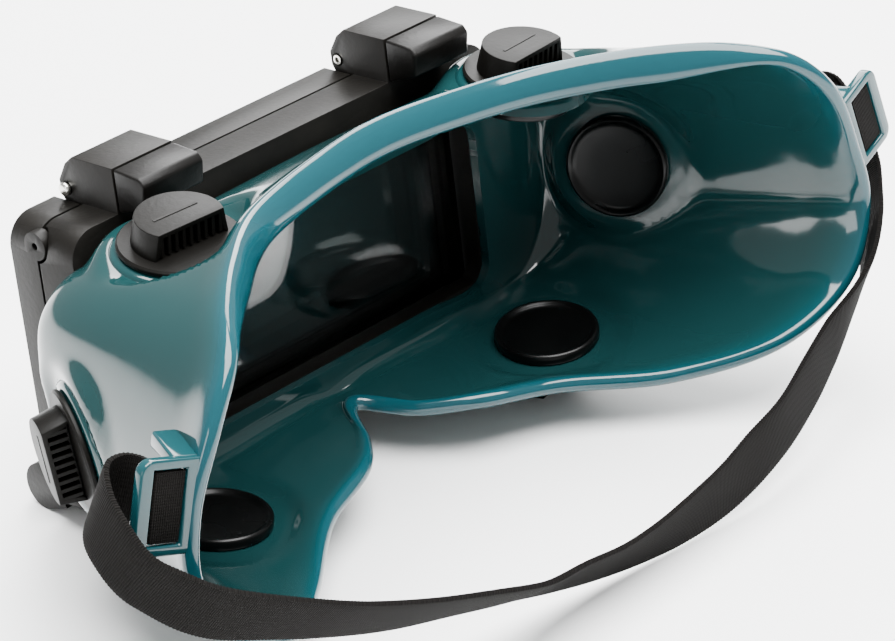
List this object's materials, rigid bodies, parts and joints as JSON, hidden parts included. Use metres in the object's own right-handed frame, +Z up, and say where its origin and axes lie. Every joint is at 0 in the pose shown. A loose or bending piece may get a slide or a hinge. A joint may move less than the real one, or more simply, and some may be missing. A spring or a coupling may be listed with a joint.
{
  "type": "welding goggles",
  "caption": "Lift-front welding goggles: soft moulded mask with hooded vents, a rectangular lens housing, a flip-up shade frame on pinned hinges and an elastic head strap.",
  "frame": {"origin": "centre of the lens housing's flat underside", "axes": "+X towards the wearer's left, +Y from the lenses towards the face, +Z up, with the goggles resting leaned 7.5 degrees forward"},
  "size_m": [0.2224, 0.117, 0.0819],
  "materials": {
    "mask_vinyl": "soft glossy slightly see-through teal vinyl",
    "vent_plastic": "moulded black, satin",
    "housing_plastic": "moulded black, satin",
    "clear_glass": "clear polished",
    "shade_glass": "dark green filter, polished",
    "gasket_rubber": "matt",
    "pin_steel": "bright plated",
    "spring_steel": "drawn wire",
    "strap_webbing": "woven elastic with fine cross ribs"
  },
  "bodies": {
    "mask": {"goggle_body": "mask_vinyl", "vent_hood_top_left": "vent_plastic", "vent_baffle_top_left": "vent_plastic", "vent_hood_top_right": "vent_plastic", "vent_baffle_top_right": "vent_plastic", "vent_hood_side_left": "vent_plastic", "vent_baffle_side_left": "vent_plastic", "vent_hood_side_right": "vent_plastic", "vent_baffle_side_right": "vent_plastic", "vent_hood_bottom_left": "vent_plastic", "vent_baffle_bottom_left": "vent_plastic", "vent_hood_bottom_right": "vent_plastic", "vent_baffle_bottom_right": "vent_plastic", "lens_housing": "housing_plastic", "clear_lens_clip": "housing_plastic", "clear_lens": "clear_glass", "lens_gasket": "gasket_rubber", "hinge_cap_left": "housing_plastic", "hinge_pin_left": "pin_steel", "detent_plunger_left": "pin_steel", "hinge_spring_left": "spring_steel", "strap_end_left": "strap_webbing", "hinge_cap_right": "housing_plastic", "hinge_pin_right": "pin_steel", "detent_plunger_right": "pin_steel", "hinge_spring_right": "spring_steel", "strap_end_right": "strap_webbing", "strap": "strap_webbing"},
    "flip_front": {"flip_frame": "housing_plastic", "cover_lens": "clear_glass", "shade_lens": "shade_glass", "shade_lens_clip": "housing_plastic"}
  },
  "joints": [
    {"name": "flip_hinge", "type": "hinge", "parent": "mask", "child": "flip_front", "pos_m": [0, -0.01803, 0.06571], "axis": [-1, 0, 0], "range_deg": [0, 100]}
  ]
}
